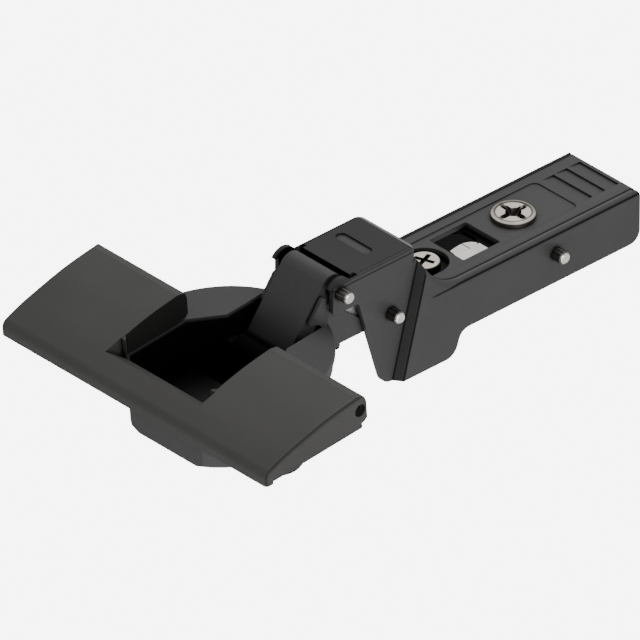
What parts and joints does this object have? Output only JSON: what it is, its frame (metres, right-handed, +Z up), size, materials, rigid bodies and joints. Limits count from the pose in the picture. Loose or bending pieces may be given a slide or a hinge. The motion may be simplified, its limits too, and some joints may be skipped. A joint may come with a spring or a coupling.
{
  "type": "concealed cup hinge",
  "caption": "Concealed furniture hinge with a round cup, a flip cover over its wings, two links and a long adjustable arm, shown open.",
  "frame": {"origin": "where the underside of the carriage's web rests on the mounting plate, on the centreline, between the window and the depth cam", "axes": "+X along the arm to its rear end, +Z up out of the cabinet's side, +Y across the arm"},
  "size_m": [0.1027, 0.0614, 0.024],
  "materials": {
    "arm_paint": "satin dark grey plating",
    "link_paint": "satin dark grey plating",
    "cup_paint": "satin dark grey plating",
    "cover_paint": "fine textured dark grey",
    "bare_steel": "bright zinc plate",
    "bright_nickel": "polished nickel",
    "spring_steel": "bare",
    "damper_plastic": "moulded",
    "dowel_plastic": "moulded"
  },
  "bodies": {
    "carriage": {"carriage": "bare_steel"},
    "overlay_screw": {"overlay_screw": "bright_nickel"},
    "arm": {"hinge_arm": "arm_paint", "outer_link_pin": "bright_nickel", "inner_link_pin": "bright_nickel", "rear_cross_pin": "bright_nickel", "clip_spring": "spring_steel"},
    "depth_cam": {"depth_cam": "bright_nickel"},
    "clip_lever": {"clip_lever": "bare_steel"},
    "outer_link": {"outer_link": "link_paint"},
    "cup": {"hinge_cup": "cup_paint", "cup_pin_outer": "bright_nickel", "cup_pin_inner": "bright_nickel", "damper_housing": "damper_plastic", "dowel_left": "dowel_plastic", "dowel_right": "dowel_plastic"},
    "inner_link": {"inner_link": "link_paint", "closing_spring": "spring_steel"},
    "flip_cover": {"flip_cover": "cover_paint", "cover_pin_left": "bright_nickel", "cover_pin_right": "bright_nickel"},
    "claw_left": {"dowel_claw_left": "bare_steel"},
    "claw_right": {"dowel_claw_right": "bare_steel"},
    "damper_piston": {"damper_piston": "damper_plastic"},
    "damper_switch": {"damper_switch": "damper_plastic"}
  },
  "joints": [
    {"name": "overlay_turn", "type": "hinge", "parent": "carriage", "child": "overlay_screw", "pos_m": [-0.0148, 0, 0.001], "axis": [0, 0, 1], "range_deg": [-180, 180]},
    {"name": "arm_depth", "type": "slide", "parent": "carriage", "child": "arm", "axis": [1, 0, 0], "range_m": [-0.0012, 0.0024]},
    {"name": "depth_cam_turn", "type": "hinge", "parent": "arm", "child": "depth_cam", "pos_m": [0.0047, 0, 0.002], "axis": [0, 0, 1], "range_deg": [-120.5, 240.5]},
    {"name": "clip_release", "type": "hinge", "parent": "arm", "child": "clip_lever", "pos_m": [0.00615, 0, -0.0017], "axis": [0, -1, 0], "range_deg": [0, 12], "stiffness_Nm_per_rad": 0.05, "springref_deg": -5.73},
    {"name": "fold", "type": "hinge", "parent": "arm", "child": "outer_link", "pos_m": [-0.0395, 0, 0.0098], "axis": [0, 1, 0], "range_deg": [-35.73, 0]},
    {"name": "cup_turn", "type": "hinge", "parent": "outer_link", "child": "cup", "pos_m": [-0.05025, 0, -0.00092], "axis": [0, 1, 0], "range_deg": [0, 130.75]},
    {"name": "inner_link_turn", "type": "hinge", "parent": "cup", "child": "inner_link", "pos_m": [-0.04577, 0, -0.00053], "axis": [0, 1, 0], "range_deg": [-128.08, 0]},
    {"name": "cover_flip", "type": "hinge", "parent": "cup", "child": "flip_cover", "pos_m": [-0.05769, 0, 0.00689], "axis": [0, 1, 0], "range_deg": [0, 70]},
    {"name": "claw_left_slide", "type": "slide", "parent": "cup", "child": "claw_left", "axis": [0, -1, 0], "range_m": [0, 0.0008]},
    {"name": "claw_right_slide", "type": "slide", "parent": "cup", "child": "claw_right", "axis": [0, 1, 0], "range_m": [0, 0.0008]},
    {"name": "damper_slide", "type": "slide", "parent": "cup", "child": "damper_piston", "axis": [-0.9962, 0, -0.0872], "range_m": [0, 0.0025]},
    {"name": "damper_off", "type": "slide", "parent": "cup", "child": "damper_switch", "axis": [0, 1, 0], "range_m": [0, 0.0023]}
  ],
  "couplings": [
    {"joint": "depth_cam_turn", "follows": "arm_depth", "rad_per_m": 1745.3},
    {"joint": "cup_turn", "follows": "fold", "ratio": -3.6585},
    {"joint": "inner_link_turn", "follows": "fold", "ratio": 3.5838},
    {"joint": "damper_slide", "follows": "fold", "m_per_rad": -0.0039283},
    {"joint": "claw_left_slide", "follows": "cover_flip", "m_per_rad": 0.0006548},
    {"joint": "claw_right_slide", "follows": "cover_flip", "m_per_rad": 0.0006548}
  ]
}
